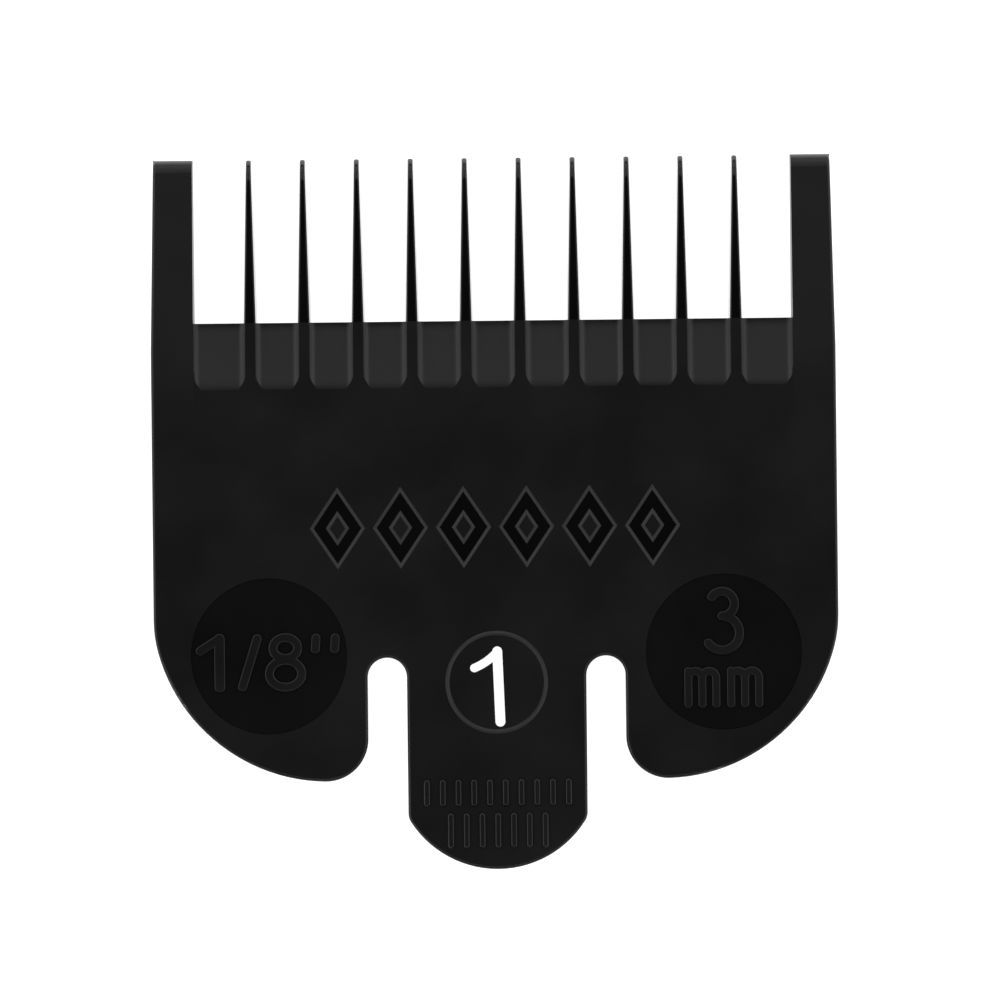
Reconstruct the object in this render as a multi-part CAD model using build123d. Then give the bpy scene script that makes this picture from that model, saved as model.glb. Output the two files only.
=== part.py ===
from build123d import *
import math
import os

# Clipper guard comb, size 1 (3 mm cut), one moulding divided into its working regions.
# Millimetres.  X is across the comb, +Y points to the tooth tips, +Z is the skin side.
# The comb lies blade side down on its two side walls, at Z = 0.

# Overall size
WIDTH = 50.0
LENGTH = 52.0
HEIGHT = 8.0
HALF_WIDTH = WIDTH / 2
FRONT_Y = LENGTH / 2
REAR_Y = -LENGTH / 2
FAR = 80.0

# Levels through the thickness
CUT_LENGTH = 3.0
SEAT_Z = HEIGHT - CUT_LENGTH
PLATE_THICKNESS = 2.2
PLATE_Z = HEIGHT - PLATE_THICKNESS
TONGUE_THICKNESS = 1.6
TONGUE_Z = HEIGHT - TONGUE_THICKNESS

# Places along Y where one region ends and the next begins
FLARE_Y = 12.0
WEB_FRONT_Y = 14.05
WEB_REAR_Y = 8.6
WING_Y = -4.25
FLEXURE_Y = -10.8
TAB_Y = -17.0
HOOK_Y = 23.3

# Side arms and walls
FRONT_HALF_WIDTH = 24.72
RAIL_INNER_X = 21.81
WALL_THICKNESS = 1.5
WALL_INNER_X = HALF_WIDTH - WALL_THICKNESS
WALL_REAR_Y = -6.3
WALL_REAR_LEAN = 1.1
WALL_TOE_R = 2.0
FOOT_FRONT_Y = 18.5
RAIL_DIP_Y = 6.0
RAIL_DIP_R = 80.0
RAIL_FALL = 4.2
EDGE_R = 0.22
RAIL_FRONT_R = 1.0

# Rear lobes, slots and tongue
LOBE_R = 12.85
LOBE_X = 12.28
LOBE_Y = -6.64
LOBE_CORNER_R = 3.1
HIP_R = 9.0
SLOT_WIDTH = 2.86
SLOT_X = 7.98
SLOT_ROOT_Y = -11.92
TONGUE_HALF_WIDTH = SLOT_X - SLOT_WIDTH / 2
TONGUE_END_R = 7.55
TONGUE_CORNER_R = 1.2

# Web and teeth
TOOTH_COUNT = 10
TOOTH_PITCH = 3.94
TOOTH_ROOT_WIDTH = 1.25
TOOTH_ROOT_Y = 9.4
TOOTH_TIP_WIDTH = 0.5
TOOTH_DRAFT = 1.9
CREST_R = 0.13
POCKET_REAR_Y = 9.05
POCKET_FALL = 15.4
POCKET_BEND_R = 2.5
POCKET_HEADROOM = 1.7
POCKET_START_LIFT = 0.004
RIB_WIDTH = 0.76
ARM_FACE_X = 21.88
FLANK_R = 0.9
FLANK_ANGLE = 38

# Blade stop and hooks at the front
STOP_Y = 24.55
HOOK_Z = 1.2
HOOK_LIP = 1.2
HOOK_LIP_Y = STOP_Y - HOOK_LIP
HOOK_INNER_X = 22.1
HOOK_TOE_R = 1.0
NOSE_Z = 2.4
NOSE_MIDDLE_Z = 6.6
NOSE_START_Y = 24.4
CREST_FALL = 0.2
CHIN_R = 0.6

# Latch and relief under the tongue
RELIEF_REAR_Y = TAB_Y - 0.6
RELIEF_FRONT_Y = FLEXURE_Y + 0.3
RELIEF_SPREAD = 0.45
RELIEF_R = 0.5
LATCH_REAR_Y = -19.7
LATCH_CATCH_Y = -18.1
LATCH_NOSE_Y = -17.3
LATCH_Z = 1.5
LATCH_CATCH_Z = SEAT_Z - 2.35
LATCH_HALF_WIDTH = 4.5

# Marks
DISC_X = 16.6
DISC_Y = -10.29
DISC_R = 5.7
DISC_DEPTH = 0.12
FIGURE_HEIGHT = 0.27
FIGURE_EDGE_R = 0.09
PEN = 0.8
FINE_PEN = 0.68
WINDOW_PEN = 0.72
WINDOW_FLAG_PEN = 0.62
RING_R = 3.6
RING_CENTRE = (0.0, -12.35)
GROOVE_WIDTH = 0.3
GROOVE_DEPTH = 0.045
ORNAMENT_Y = -1.0
ORNAMENT_HALF_Y = 2.6
ORNAMENT_HALF_X = 1.75
ORNAMENT_COUNT = 6
ORNAMENT_PITCH = 4.6
ORNAMENT_STROKE = 0.75
ORNAMENT_DEPTH = 0.15
ORNAMENT_WALL_ANGLE = 56
GRIP_HEIGHT = 0.25
GRIP_EDGE_R = 0.14
GRIP_BAR = 0.5
GRIP_PITCH = 1.15
GRIP_ROWS = [(-20.4, 10, 2.0), (-23.15, 7, 2.6)]
PIN_R = 1.5
PIN_DEPTH = 0.1
PIN_PLACES = [(-14, 4.5), (14, 4.5), (-15, -9.5), (15, -9.5)]


def block(x0, x1, y0, y1, z0, z1):
    """A box between two corners."""
    size = Box(x1 - x0, y1 - y0, z1 - z0)
    return Pos((x0 + x1) / 2, (y0 + y1) / 2, (z0 + z1) / 2) * size


def area(x0, x1, y0, y1):
    """A rectangle between two corners."""
    return Pos((x0 + x1) / 2, (y0 + y1) / 2) * Rectangle(x1 - x0, y1 - y0)


def prism_x(outline, x0, x1):
    """A closed outline of (y, z) points carried along X."""
    face = make_face(Polyline(*outline, close=True))
    standing = Plane.YZ.offset(x0) * face
    return extrude(standing, x1 - x0, dir=(1, 0, 0))


def both_sides(shape):
    """The shape and its mirror image across the middle."""
    return shape + mirror(shape, about=Plane.YZ)


def outer_outline():
    """Plan view of the comb, without the gap between the arms."""
    front = Polyline(
        (-HALF_WIDTH, LOBE_Y),
        (-HALF_WIDTH, FLARE_Y),
        (-FRONT_HALF_WIDTH, FRONT_Y),
        (FRONT_HALF_WIDTH, FRONT_Y),
        (HALF_WIDTH, FLARE_Y),
        (HALF_WIDTH, LOBE_Y),
        close=True,
    )
    lobe = Pos(LOBE_X, LOBE_Y) * Circle(LOBE_R)
    lobe = lobe & area(SLOT_X + SLOT_WIDTH / 2, HALF_WIDTH, -FAR, LOBE_Y)
    corner = lobe.vertices().sort_by(Axis.Y)[0]
    lobe = fillet(corner, LOBE_CORNER_R)
    bridge = area(-SLOT_X, SLOT_X, SLOT_ROOT_Y, LOBE_Y)
    shoulders = both_sides(area(SLOT_X, SLOT_X + SLOT_WIDTH / 2, SLOT_ROOT_Y, LOBE_Y))
    slots = both_sides(Pos(SLOT_X, SLOT_ROOT_Y) * Circle(SLOT_WIDTH / 2))
    outline = make_face(front) + both_sides(lobe) + bridge + shoulders - slots + tongue_outline()
    hips = outline.vertices().filter_by(lambda v: abs(v.X) > HALF_WIDTH - 0.01 and v.Y < LOBE_Y - 1)
    return fillet(hips, HIP_R)


def tongue_outline():
    """Plan view of the release tongue."""
    end_y = REAR_Y + TONGUE_END_R
    straight = area(-TONGUE_HALF_WIDTH, TONGUE_HALF_WIDTH, end_y, SLOT_ROOT_Y)
    end = Pos(0, end_y) * Circle(TONGUE_END_R)
    end = end & area(-TONGUE_HALF_WIDTH, TONGUE_HALF_WIDTH, -FAR, end_y)
    tongue = straight + end
    corner_y = end_y - math.sqrt(TONGUE_END_R**2 - TONGUE_HALF_WIDTH**2)
    corners = tongue.vertices().filter_by(lambda v: abs(v.Y - corner_y) < 0.01)
    return fillet(corners, TONGUE_CORNER_R)


def arm_dip():
    """What the gentle fall of the two arms takes off the skin side."""
    fall = math.radians(RAIL_FALL)
    bend_y = RAIL_DIP_Y + RAIL_DIP_R * math.sin(fall)
    bend_z = HEIGHT - RAIL_DIP_R * (1 - math.cos(fall))
    end_y = FRONT_Y + 1
    bend = TangentArc((RAIL_DIP_Y, HEIGHT), (bend_y, bend_z), tangent=(1, 0))
    slope = Line(bend @ 1, (end_y, bend_z - (end_y - bend_y) * math.tan(fall)))
    over = Polyline(slope @ 1, (end_y, HEIGHT + 1), (RAIL_DIP_Y, HEIGHT + 1), bend @ 0)
    profile = make_face([bend, slope, over])
    width = HALF_WIDTH + 1 - RAIL_INNER_X
    return both_sides(extrude(Plane.YZ.offset(RAIL_INNER_X) * profile, width, dir=(1, 0, 0)))


def arm_gap():
    """The open space between the arms, with the same draft as the teeth."""
    top_z = HEIGHT + 1
    top_x = RAIL_INNER_X + (top_z - SEAT_Z) * math.tan(math.radians(TOOTH_DRAFT))
    low = [(-RAIL_INNER_X, SEAT_Z), (RAIL_INNER_X, SEAT_Z)]
    outline = make_face(Polyline(*low, (top_x, top_z), (-top_x, top_z), close=True))
    return extrude(Plane.XZ.offset(-WEB_FRONT_Y) * outline, FAR, dir=(0, 1, 0))


def skin_side():
    """The whole skin side: plate, web blank, arms, lobes and tongue, with rounded edges."""
    outline = outer_outline()
    window = area(-RAIL_INNER_X, RAIL_INNER_X, WEB_FRONT_Y, FAR)
    plate = Pos(0, 0, PLATE_Z) * extrude(outline - window, PLATE_THICKNESS)
    front = area(-WALL_INNER_X, WALL_INNER_X, WEB_REAR_Y, FRONT_Y)
    lower = Pos(0, 0, SEAT_Z) * extrude(front - window, PLATE_Z - SEAT_Z)
    body = plate + lower - arm_dip() - arm_gap()
    front_edges = body.edges().filter_by(is_arm_front)
    body = fillet(front_edges, RAIL_FRONT_R)
    rim = body.edges().filter_by(is_rim)
    return fillet(rim, EDGE_R)


def is_arm_front(edge):
    """The skin side edge across the front of an arm."""
    middle = edge.center()
    return middle.Y > FRONT_Y - 0.01 and middle.Z > SEAT_Z + 1 and edge.length > 1


def is_rim(edge):
    """A skin side edge on the outer outline, but not round the front of an arm."""
    middle = edge.center()
    box = edge.bounding_box()
    upright = box.size.Z > 2 * max(box.size.X, box.size.Y)
    inside = abs(middle.X) < RAIL_INNER_X + 0.3 and middle.Y > WING_Y
    outer = not upright and not inside
    return outer and middle.Z > PLATE_Z + 1 and middle.Y < FRONT_Y - RAIL_FRONT_R - 0.2


def tooth_width(y):
    """Width of a tooth at the seat, where it is widest."""
    slope = (TOOTH_ROOT_WIDTH - TOOTH_TIP_WIDTH) / (FRONT_Y - TOOTH_ROOT_Y)
    return TOOTH_ROOT_WIDTH - slope * (y - TOOTH_ROOT_Y)


def tooth_centres():
    """Places of the teeth across the comb."""
    first = -TOOTH_PITCH * (TOOTH_COUNT - 1) / 2
    return [first + TOOTH_PITCH * i for i in range(TOOTH_COUNT)]


def wedge(left_rear, right_rear, left_front, right_front, y0, y1):
    """Plan view of a space or a tooth that narrows towards one end."""
    return make_face(
        Polyline((left_rear, y0), (right_rear, y0), (right_front, y1), (left_front, y1), close=True)
    )


def floor_path():
    """Side view of a pocket's floor: it leaves the skin side softly, falls, and levels out at its front."""
    fall = math.radians(POCKET_FALL)
    reach = POCKET_BEND_R * math.sin(fall)
    drop = POCKET_BEND_R * (1 - math.cos(fall))
    start = (POCKET_REAR_Y, HEIGHT + POCKET_START_LIFT)
    straight = WEB_FRONT_Y - POCKET_REAR_Y - 2 * reach
    upper = TangentArc(start, (start[0] + reach, start[1] - drop), tangent=(1, 0))
    middle = Line(upper @ 1, upper @ 1 + (straight, -straight * math.tan(fall)))
    lower = TangentArc(middle @ 1, middle @ 1 + (reach, -drop), tangent=middle % 1)
    return Plane.YZ * (upper + middle + lower)


def pocket(left, right):
    """The space above the web between two ribs, with a concave flank along the foot of each rib."""
    angle = math.radians(FLANK_ANGLE)
    width = FLANK_R * math.sin(angle)
    rise = FLANK_R * (1 - math.cos(angle))
    lean = (POCKET_HEADROOM - rise) * math.tan(math.radians(TOOTH_DRAFT))
    floor = Line((left + width, 0), (right - width, 0))
    right_flank = TangentArc(floor @ 1, (right, rise), tangent=(1, 0))
    left_flank = TangentArc(floor @ 0, (left, rise), tangent=(-1, 0))
    over = Polyline(
        (right, rise), (right + lean, POCKET_HEADROOM), (left - lean, POCKET_HEADROOM), (left, rise)
    )
    section = make_face([floor, right_flank, over, left_flank])
    start = Plane.XZ.offset(-POCKET_REAR_Y) * Pos(0, HEIGHT + POCKET_START_LIFT) * section
    return sweep(start, path=floor_path())


def pockets():
    """Every space above the web, the two beside the arms included."""
    lefts = [-ARM_FACE_X] + [x + RIB_WIDTH / 2 for x in tooth_centres()]
    rights = [x - RIB_WIDTH / 2 for x in tooth_centres()] + [ARM_FACE_X]
    return [pocket(left, right) for left, right in zip(lefts, rights)]


def tooth_side():
    """Side view of a free tooth: straight seat, level crest and a round nose past the blade's tips."""
    crest = Line((WEB_FRONT_Y, HEIGHT), (NOSE_START_Y, HEIGHT - CREST_FALL))
    nose = TangentArc(crest @ 1, (FRONT_Y, NOSE_MIDDLE_Z), tangent=crest % 1)
    chin = TangentArc(nose @ 1, (STOP_Y + CHIN_R, NOSE_Z), tangent=nose % 1)
    back = TangentArc(chin @ 1, (STOP_Y, NOSE_Z + 0.5), tangent=chin % 1)
    stop = Line(back @ 1, (STOP_Y, SEAT_Z - CHIN_R))
    corner = TangentArc(stop @ 1, (STOP_Y - CHIN_R, SEAT_Z), tangent=stop % 1)
    seat = Line(corner @ 1, (WEB_FRONT_Y, SEAT_Z))
    root = Line(seat @ 1, crest @ 0)
    return make_face([crest, nose, chin, back, stop, corner, seat, root])


def tooth(centre):
    """One free tooth, thinner towards its tip and its two long edges."""
    root_y = WEB_FRONT_Y - 1
    root = tooth_width(root_y) / 2
    tip = TOOTH_TIP_WIDTH / 2
    plan = wedge(centre - root, centre + root, centre - tip, centre + tip, root_y, FRONT_Y)
    plan = fillet(plan.vertices().sort_by(Axis.Y)[-2:], TOOTH_TIP_WIDTH * 0.4)
    at_seat = Pos(0, 0, SEAT_Z) * plan
    upper = extrude(at_seat, CUT_LENGTH, taper=TOOTH_DRAFT)
    lower = extrude(at_seat, NOSE_Z - SEAT_Z, taper=TOOTH_DRAFT)
    side = extrude(Plane.YZ.offset(centre - 1) * tooth_side(), 2, dir=(1, 0, 0))
    blank = (upper + lower) & side
    crest = blank.edges().filter_by(is_crest)
    return fillet(crest, CREST_R)


def is_crest(edge):
    """A lengthwise edge along the crest of a tooth, or round its nose."""
    box = edge.bounding_box()
    return box.size.Y > 0.5 and box.size.X > 0.001 and edge.center().Z > SEAT_Z + 0.2


def side_wall():
    """The right wall on the blade side, which centres the blade."""
    profile = make_face(
        Polyline(
            (WALL_REAR_Y, PLATE_Z),
            (WALL_REAR_Y + WALL_REAR_LEAN, 0),
            (FOOT_FRONT_Y, 0),
            (HOOK_Y, HOOK_Z),
            (HOOK_Y, PLATE_Z),
            close=True,
        )
    )
    ground = profile.vertices().filter_by(lambda v: v.Y < 0.01)
    profile = fillet(ground, WALL_TOE_R)
    wall = extrude(Plane.YZ.offset(WALL_INNER_X) * profile, WALL_THICKNESS, dir=(1, 0, 0))
    return wall & extrude(outer_outline(), HEIGHT)


def seat_ledge():
    """The right strip under the plate that the blade's edge rests on."""
    return block(RAIL_INNER_X, WALL_INNER_X, WALL_REAR_Y, WEB_REAR_Y, SEAT_Z, PLATE_Z)


def corner_hook():
    """The right front corner: a wall across the blade's corner tooth and a lip over it."""
    wall = block(WALL_INNER_X, HALF_WIDTH, HOOK_Y, FRONT_Y, HOOK_Z, PLATE_Z)
    front = block(HOOK_INNER_X, HALF_WIDTH, STOP_Y, FRONT_Y, HOOK_Z, SEAT_Z)
    lip = block(HOOK_INNER_X, HALF_WIDTH, HOOK_LIP_Y, FRONT_Y, HOOK_Z, HOOK_Z + HOOK_LIP)
    hook = wall + front + lip
    toe = hook.edges().filter_by(lambda e: e.center().Y > FRONT_Y - 0.01 and e.center().Z < HOOK_Z + 0.01)
    hook = fillet(toe, HOOK_TOE_R)
    return hook & extrude(outer_outline(), HEIGHT)


def stroke(path, width):
    """A pen stroke with round ends along one line or arc."""
    return SlotArc(path, width)


def oval_ring(x, y, half_x, half_y, width):
    """An oval drawn with a pen of the given width."""
    grow = width / 2
    outer = Ellipse(half_x + grow, half_y + grow)
    inner = Ellipse(half_x - grow, half_y - grow)
    return Pos(x, y) * (outer - inner)


def numeral_window():
    """The size numeral that goes right through the tongue."""
    stem = stroke(Line((0.06, -10.1), (0.24, -15.24)), WINDOW_PEN)
    flag = stroke(ThreePointArc((0.0, -10.2), (-0.72, -10.82), (-1.62, -11.3)), WINDOW_FLAG_PEN)
    return extrude(stem + flag, HEIGHT + 1)


def inch_figures():
    """The mark 1/8 inch, centred on its field."""
    top = 1.75
    figures = stroke(Line((-3.6, top), (-3.6, -top)), PEN)
    figures += stroke(Line((-3.65, top), (-5.0, top - 0.85)), FINE_PEN)
    figures += stroke(Line((-0.85, top), (-1.95, -top)), FINE_PEN)
    figures += oval_ring(1.2, top - 0.7, 0.9, 0.76, FINE_PEN)
    figures += oval_ring(1.2, 0.92 - top, 1.18, 0.98, FINE_PEN)
    for x in (3.45, 4.85):
        figures += stroke(Line((x, top), (x - 0.06, top - 0.8)), FINE_PEN)
    return figures


def letter_m(x, y, width, height, pen):
    """A small m of three stems and two arches."""
    span = (width - pen) / 2
    rise = height - pen / 2 - span / 2
    letter = stroke(Line((x, y + height - pen / 2), (x, y + pen / 2)), pen)
    for i in (0, 1):
        centre_x = x + span * (i + 0.5)
        arch = CenterArc((centre_x, y + rise), span / 2, 0, 180)
        letter += stroke(arch, pen)
        stem = Line((centre_x + span / 2, y + rise), (centre_x + span / 2, y + pen / 2))
        letter += stroke(stem, pen)
    return letter


def millimetre_figures():
    """The mark 3 mm, in two rows."""
    upper = CenterArc((-0.1, 3.5), 0.9, -90, 235)
    lower = CenterArc((-0.1, 1.35), 1.25, -145, 235)
    figures = stroke(upper, FINE_PEN) + stroke(lower, FINE_PEN)
    letter_width = 2.65
    for x in (-2.62, 0.5):
        figures += letter_m(x, -4.1, letter_width, 3.0, FINE_PEN * 0.9)
    return figures


def raised(figures, x, y):
    """Figures with soft edges standing on the floor of a sunk round field."""
    standing = extrude(Pos(x, y, HEIGHT - DISC_DEPTH) * figures, FIGURE_HEIGHT)
    return soften(standing, FIGURE_EDGE_R)


def soften(shape, radius):
    """Round every edge of the top face of raised strokes."""
    top = shape.edges().group_by(Axis.Z)[-1]
    return fillet(top, radius)


def lozenge(half_x, half_y):
    """A diamond on its point."""
    return make_face(Polyline((-half_x, 0), (0, -half_y), (half_x, 0), (0, half_y), close=True))


def sunk_lozenge(x):
    """One open lozenge with sloping walls, sunk in the plate."""
    side = math.hypot(ORNAMENT_HALF_X, ORNAMENT_HALF_Y)
    shrink = 1 - ORNAMENT_STROKE * side / (ORNAMENT_HALF_X * ORNAMENT_HALF_Y)
    rise = ORNAMENT_DEPTH + 0.05
    outer = extrude(lozenge(ORNAMENT_HALF_X, ORNAMENT_HALF_Y), rise, taper=-ORNAMENT_WALL_ANGLE)
    island = lozenge(ORNAMENT_HALF_X * shrink, ORNAMENT_HALF_Y * shrink)
    island = extrude(island, rise, taper=ORNAMENT_WALL_ANGLE)
    return Pos(x, ORNAMENT_Y, HEIGHT - ORNAMENT_DEPTH) * (outer - island)


def ornament():
    """A plain row of sunk open lozenges across the plate."""
    first = -ORNAMENT_PITCH * (ORNAMENT_COUNT - 1) / 2
    return [sunk_lozenge(first + ORNAMENT_PITCH * i) for i in range(ORNAMENT_COUNT)]


def ring_groove():
    """A fine V groove round the numeral."""
    half = GROOVE_WIDTH
    profile = make_face(
        Polyline(
            (RING_R - half, GROOVE_DEPTH),
            (RING_R, -GROOVE_DEPTH),
            (RING_R + half, GROOVE_DEPTH),
            close=True,
        )
    )
    return Pos(*RING_CENTRE, HEIGHT) * revolve(Plane.XZ * profile, Axis.Z)


def fields():
    """The two sunk round fields and the fine ring round the numeral."""
    disc = Pos(0, 0, HEIGHT - DISC_DEPTH) * extrude(Circle(DISC_R), 1)
    return [Pos(-DISC_X, DISC_Y) * disc, Pos(DISC_X, DISC_Y) * disc, ring_groove()]


def tongue_relief():
    """What thins the bending part of the tongue on the blade side."""
    x = TONGUE_HALF_WIDTH + RELIEF_SPREAD
    relief = block(-x, x, RELIEF_REAR_Y, RELIEF_FRONT_Y, SEAT_Z, TONGUE_Z)
    ends = relief.edges().filter_by(Axis.X).group_by(Axis.Z)[-1]
    return fillet(ends, RELIEF_R)


def ejector_marks():
    """Shallow round marks that the mould's pins leave on the blade side."""
    pin = Pos(0, 0, PLATE_Z - 0.5) * extrude(Circle(PIN_R), 0.5 + PIN_DEPTH)
    return [Pos(x, y) * pin for x, y in PIN_PLACES]


def latch_hook():
    """The ridge across the tongue that snaps behind the blade."""
    outline = [
        (LATCH_REAR_Y, PLATE_Z),
        (LATCH_REAR_Y + 0.35, LATCH_Z + 0.9),
        (LATCH_REAR_Y + 0.9, LATCH_Z),
        (LATCH_CATCH_Y, LATCH_Z),
        (LATCH_NOSE_Y, LATCH_Z + 0.6),
        (LATCH_NOSE_Y, LATCH_CATCH_Z - 0.15),
        (LATCH_CATCH_Y, LATCH_CATCH_Z),
        (LATCH_CATCH_Y, PLATE_Z),
    ]
    return prism_x(outline, -LATCH_HALF_WIDTH, LATCH_HALF_WIDTH)


def thumb_grip():
    """Two rows of short upright bars across the end of the tongue."""
    bars = Sketch()
    for y, count, length in GRIP_ROWS:
        first = -GRIP_PITCH * (count - 1) / 2
        reach = (length - GRIP_BAR) / 2
        for i in range(count):
            x = first + GRIP_PITCH * i
            bars += stroke(Line((x, y - reach), (x, y + reach)), GRIP_BAR)
    return soften(extrude(Pos(0, 0, HEIGHT) * bars, GRIP_HEIGHT), GRIP_EDGE_R)


def moulding():
    """The skin side with every space, mark and window cut."""
    body = skin_side()
    for space in pockets():
        body -= space
    for field in fields():
        body -= field
    for mark in ejector_marks() + ornament():
        body -= mark
    body -= tongue_relief()
    body -= numeral_window()
    return body


def regions():
    """Where each named region of the skin side lies."""
    inner = SLOT_X + SLOT_WIDTH / 2
    plate = block(-FAR, FAR, WING_Y, WEB_REAR_Y, 0, FAR)
    plate += block(-inner, inner, FLEXURE_Y, WING_Y, 0, FAR)
    wing = block(inner, FAR, -FAR, WING_Y, 0, FAR)
    wing += block(SLOT_X, FAR, -FAR, FLEXURE_Y, 0, FAR)
    arm = block(0, FAR, WEB_FRONT_Y, FAR, 0, FAR)
    return {
        "back_plate": plate,
        "front_web": block(-FAR, FAR, WEB_REAR_Y, WEB_FRONT_Y, 0, FAR),
        "left_rail": mirror(arm, about=Plane.YZ),
        "right_rail": arm,
        "left_wing": mirror(wing, about=Plane.YZ),
        "right_wing": wing,
        "tab_flexure": block(-SLOT_X, SLOT_X, TAB_Y, FLEXURE_Y, 0, FAR),
        "release_tab": block(-SLOT_X, SLOT_X, -FAR, TAB_Y, 0, FAR),
    }


def all_nodes():
    """Every named piece with its shape."""
    body = moulding()
    nodes = {name: body & region for name, region in regions().items()}
    nodes["left_side_wall"] = mirror(side_wall(), about=Plane.YZ)
    nodes["right_side_wall"] = side_wall()
    nodes["left_seat_ledge"] = mirror(seat_ledge(), about=Plane.YZ)
    nodes["right_seat_ledge"] = seat_ledge()
    nodes["left_corner_hook"] = mirror(corner_hook(), about=Plane.YZ)
    nodes["right_corner_hook"] = corner_hook()
    nodes["left_size_figures"] = raised(inch_figures(), -DISC_X, DISC_Y - 0.45)
    nodes["right_size_figures"] = raised(millimetre_figures(), DISC_X, DISC_Y)
    nodes["latch_hook"] = latch_hook()
    nodes["thumb_grip"] = thumb_grip()
    for number, centre in enumerate(tooth_centres(), 1):
        nodes[f"tooth_{number:02d}"] = tooth(centre)
    return nodes


os.makedirs("parts", exist_ok=True)
for name, shape in all_nodes().items():
    export_step(shape, f"parts/{name}.step")
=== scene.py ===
import math

import bmesh
import bpy
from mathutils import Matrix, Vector


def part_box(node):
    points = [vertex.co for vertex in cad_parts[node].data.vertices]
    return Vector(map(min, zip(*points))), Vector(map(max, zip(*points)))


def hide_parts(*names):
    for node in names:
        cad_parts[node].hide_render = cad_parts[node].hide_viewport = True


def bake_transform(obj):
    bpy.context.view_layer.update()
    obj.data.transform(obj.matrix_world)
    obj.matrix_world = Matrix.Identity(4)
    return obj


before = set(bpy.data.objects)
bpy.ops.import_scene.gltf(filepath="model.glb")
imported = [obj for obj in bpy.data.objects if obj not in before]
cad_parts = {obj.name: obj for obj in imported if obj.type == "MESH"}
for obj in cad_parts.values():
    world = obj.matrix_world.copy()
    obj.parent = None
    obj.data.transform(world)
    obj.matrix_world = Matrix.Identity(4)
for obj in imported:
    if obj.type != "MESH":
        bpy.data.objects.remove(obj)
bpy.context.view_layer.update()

MM = 0.001

# ---------------------------------------------------------------- sizes read from the frame
FACE_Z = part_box("back_plate")[1].z
FLEX_LOW, FLEX_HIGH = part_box("tab_flexure")

# ---------------------------------------------------------------- finish of the plastic
PLATE_ROUGH = (0.3, 0.36)
TOOTH_ROUGH = (0.1, 0.14)
PLATE_GRAIN = 2e-6
TOOTH_GRAIN = 1e-6
# a floor of a sunk mark lies between these two depths below the skin side
LOZENGE_FLOOR = (0.13 * MM, 0.3 * MM)
LOZENGE_FLOOR_ROUGH = (0.12, 0.16)
FIELD_FLOOR = (0.06 * MM, 0.3 * MM)
FIELD_FLOOR_ROUGH = (0.22, 0.26)


# ---------------------------------------------------------------- node helpers
class Tree:
    """A material's node tree with short ways to add and join nodes."""

    def __init__(self, name):
        self.material = bpy.data.materials.new(name)
        self.material.use_nodes = True
        self.tree = self.material.node_tree
        self.shader = self.tree.nodes["Principled BSDF"]

    def add(self, kind, **values):
        node = self.tree.nodes.new(kind)
        for key, value in values.items():
            setattr(node, key, value)
        return node

    def join(self, source, target):
        self.tree.links.new(source, target)

    def math(self, operation, a, b):
        node = self.tree.nodes.new("ShaderNodeMath")
        node.operation = operation
        for socket, value in zip(node.inputs, (a, b)):
            if isinstance(value, (int, float)):
                socket.default_value = value
            else:
                self.join(value, socket)
        return node.outputs[0]

    def noise(self, vector, scale, detail, roughness=0.5):
        node = self.add("ShaderNodeTexNoise")
        node.inputs["Scale"].default_value = scale
        node.inputs["Detail"].default_value = detail
        node.inputs["Roughness"].default_value = roughness
        self.join(vector, node.inputs["Vector"])
        return node.outputs["Fac"]

    def spread(self, value, low, high):
        """Most of a noise lies between 0.3 and 0.7; this spreads that range from low to high."""
        node = self.add("ShaderNodeMapRange")
        node.inputs["From Min"].default_value = 0.3
        node.inputs["From Max"].default_value = 0.7
        node.inputs["To Min"].default_value = low
        node.inputs["To Max"].default_value = high
        self.join(value, node.inputs["Value"])
        return node.outputs["Result"]


def moulded_black(name, rough_range, grain_height, floor_depth=None, floor_rough=None):
    """Black moulded plastic, fine grained and uneven in gloss, with smoother floors in its sunk marks."""
    t = Tree(name)
    place = t.add("ShaderNodeTexCoord").outputs["Object"]
    cloud = t.noise(place, 150.0, 3.0)
    grain = t.noise(place, 4200.0, 2.0, 0.6)
    rough = t.spread(cloud, *rough_range)
    height = grain
    if floor_depth:
        axes = t.add("ShaderNodeSeparateXYZ")
        t.join(place, axes.inputs[0])
        level = t.math("SUBTRACT", FACE_Z, axes.outputs["Z"])
        below = t.math("GREATER_THAN", level, floor_depth[0])
        above = t.math("LESS_THAN", level, floor_depth[1])
        sunk = t.math("MULTIPLY", below, above)
        blend = t.add("ShaderNodeMix", data_type="FLOAT")
        t.join(sunk, blend.inputs["Factor"])
        t.join(rough, blend.inputs["A"])
        t.join(t.spread(cloud, *floor_rough), blend.inputs["B"])
        rough = blend.outputs["Result"]
        height = t.math("MULTIPLY", grain, t.math("SUBTRACT", 1.0, sunk))
    tone = t.add("ShaderNodeMix", data_type="RGBA")
    tone.inputs["A"].default_value = (0.0012, 0.0012, 0.0011, 1)
    tone.inputs["B"].default_value = (0.0019, 0.0019, 0.0018, 1)
    t.join(t.spread(cloud, 0, 1), tone.inputs["Factor"])
    t.join(tone.outputs["Result"], t.shader.inputs["Base Color"])
    t.join(rough, t.shader.inputs["Roughness"])
    bump = t.add("ShaderNodeBump")
    bump.inputs["Distance"].default_value = grain_height
    bump.inputs["Strength"].default_value = 1.0
    t.join(height, bump.inputs["Height"])
    t.join(bump.outputs["Normal"], t.shader.inputs["Normal"])
    t.shader.inputs["IOR"].default_value = 1.5
    return t.material


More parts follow.
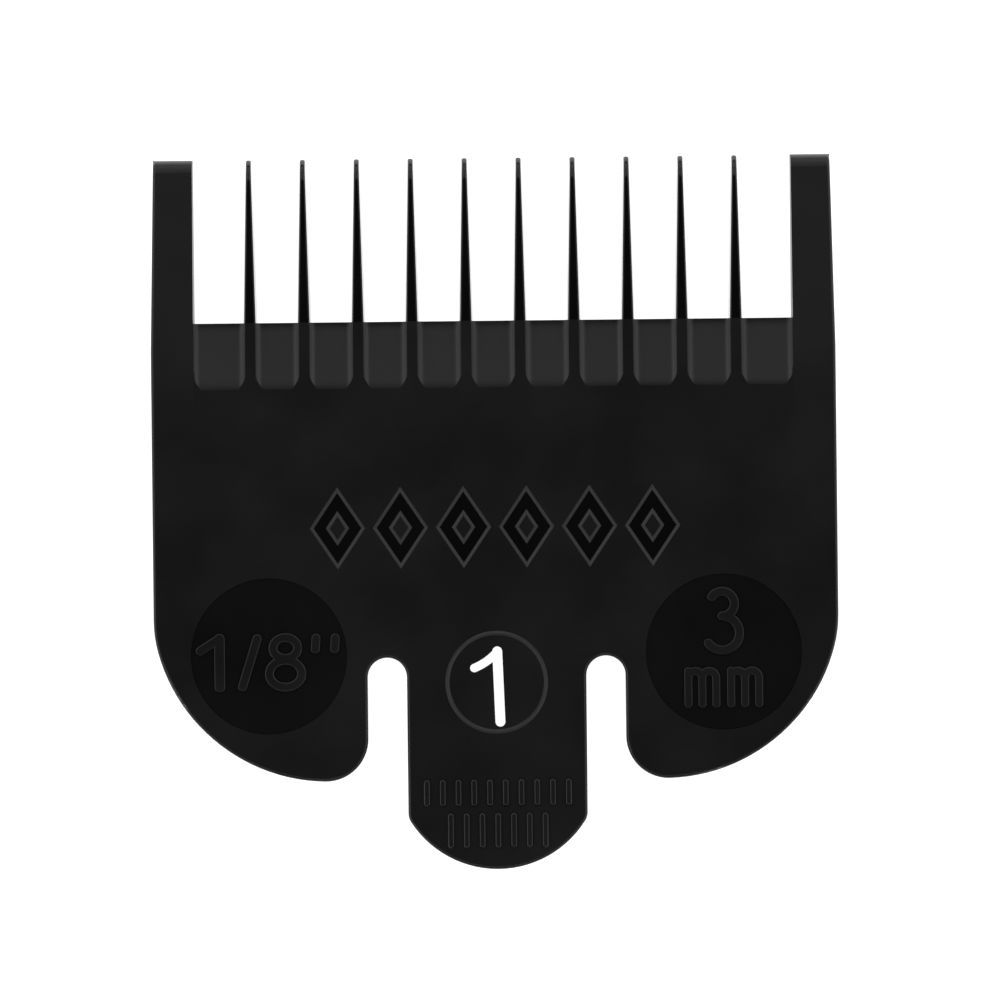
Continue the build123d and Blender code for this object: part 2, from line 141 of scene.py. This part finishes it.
GRAINED = moulded_black("moulded_black_grained", PLATE_ROUGH, PLATE_GRAIN)
LOZENGES = moulded_black(
    "moulded_black_with_lozenges", PLATE_ROUGH, PLATE_GRAIN, LOZENGE_FLOOR, LOZENGE_FLOOR_ROUGH
)
FIELDS = moulded_black("moulded_black_with_fields", PLATE_ROUGH, PLATE_GRAIN, FIELD_FLOOR, FIELD_FLOOR_ROUGH)
SMOOTH = moulded_black("moulded_black_smooth", TOOTH_ROUGH, TOOTH_GRAIN)
MARKED = {"back_plate": LOZENGES, "left_wing": FIELDS, "right_wing": FIELDS}

for name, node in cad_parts.items():
    node.data.materials.clear()
    node.data.materials.append(SMOOTH if name.startswith("tooth") else MARKED.get(name, GRAINED))


# ---------------------------------------------------------------- the bending part of the tongue
def bending_tongue():
    """The root of the tongue, cut finely across into thin slices."""
    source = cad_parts["tab_flexure"]
    mesh = source.data.copy()
    piece = bpy.data.objects.new("tongue_root", mesh)
    bpy.context.scene.collection.objects.link(piece)
    bm = bmesh.new()
    bm.from_mesh(mesh)
    step = 0.2 * MM
    count = int((FLEX_HIGH.y - FLEX_LOW.y) / step)
    for i in range(1, count + 1):
        y = FLEX_LOW.y + (FLEX_HIGH.y - FLEX_LOW.y) * i / (count + 1)
        geometry = bm.verts[:] + bm.edges[:] + bm.faces[:]
        bmesh.ops.bisect_plane(bm, geom=geometry, dist=1e-8, plane_co=(0, y, 0), plane_no=(0, 1, 0))
    bm.to_mesh(mesh)
    bm.free()
    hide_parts("tab_flexure")
    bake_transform(piece)


bending_tongue()


# ---------------------------------------------------------------- floor, lights and camera
def floor():
    """A pale floor, a hair below the feet so that the two never share a plane."""
    size = 3.0
    low = -0.01 * MM
    mesh = bpy.data.meshes.new("floor")
    corners = [(-size, -size, low), (size, -size, low), (size, size, low), (-size, size, low)]
    mesh.from_pydata(corners, [], [(0, 1, 2, 3)])
    piece = bpy.data.objects.new("floor", mesh)
    bpy.context.scene.collection.objects.link(piece)
    t = Tree("pale_floor")
    t.shader.inputs["Base Color"].default_value = (0.8, 0.8, 0.8, 1)
    t.shader.inputs["Roughness"].default_value = 0.9
    t.shader.inputs["Specular IOR Level"].default_value = 0.1
    t.shader.inputs["Emission Color"].default_value = (1, 1, 1, 1)
    t.shader.inputs["Emission Strength"].default_value = 1.0
    mesh.materials.append(t.material)


def softbox(name, off_axis, azimuth, distance, width, height, radiance):
    """A soft panel that faces the comb, off_axis degrees from straight above it."""
    lean, turn = math.radians(off_axis), math.radians(azimuth)
    place = Vector((math.sin(lean) * math.cos(turn), math.sin(lean) * math.sin(turn), math.cos(lean)))
    data = bpy.data.lights.new(name, "AREA")
    data.shape = "RECTANGLE"
    data.size = width
    data.size_y = height
    data.energy = radiance * math.pi * width * height
    lamp = bpy.data.objects.new(name, data)
    bpy.context.scene.collection.objects.link(lamp)
    lamp.location = place * distance
    lamp.rotation_euler = (-place).to_track_quat("-Z", "Y").to_euler()


def lights():
    softbox("softbox_top", 29, 90, 1.1, 1.6, 0.6, 0.55)
    softbox("softbox_back", 64, 90, 1.0, 1.6, 0.6, 0.95)
    softbox("softbox_left", 52, 180, 1.0, 1.7, 0.9, 1.15)
    softbox("softbox_right", 52, 0, 1.0, 1.7, 0.9, 1.05)
    softbox("softbox_front", 34, -90, 0.4, 0.29, 0.11, 1.7)
    world = bpy.data.worlds.new("studio")
    bpy.context.scene.world = world
    world.use_nodes = True
    background = world.node_tree.nodes["Background"]
    background.inputs["Color"].default_value = (1, 1, 1, 1)
    background.inputs["Strength"].default_value = 0.04


def camera():
    """Straight above the skin side, far off with a long lens, turned a little about the view axis."""
    frame_width = 73.06 * MM
    distance = 1.2
    aim_x = 0.383 * MM
    aim_y = 0.944 * MM
    aim_z = FACE_Z - 1.5 * MM
    turn = math.radians(-0.62)
    data = bpy.data.cameras.new("camera")
    data.lens = data.sensor_width * distance / frame_width
    data.clip_start = 0.01
    data.clip_end = 20.0
    lens = bpy.data.objects.new("camera", data)
    bpy.context.scene.collection.objects.link(lens)
    lens.location = (aim_x, aim_y, aim_z + distance)
    lens.rotation_euler = (0, 0, turn)
    bpy.context.scene.camera = lens


floor()
lights()
camera()
bpy.context.scene.view_settings.view_transform = "Standard"
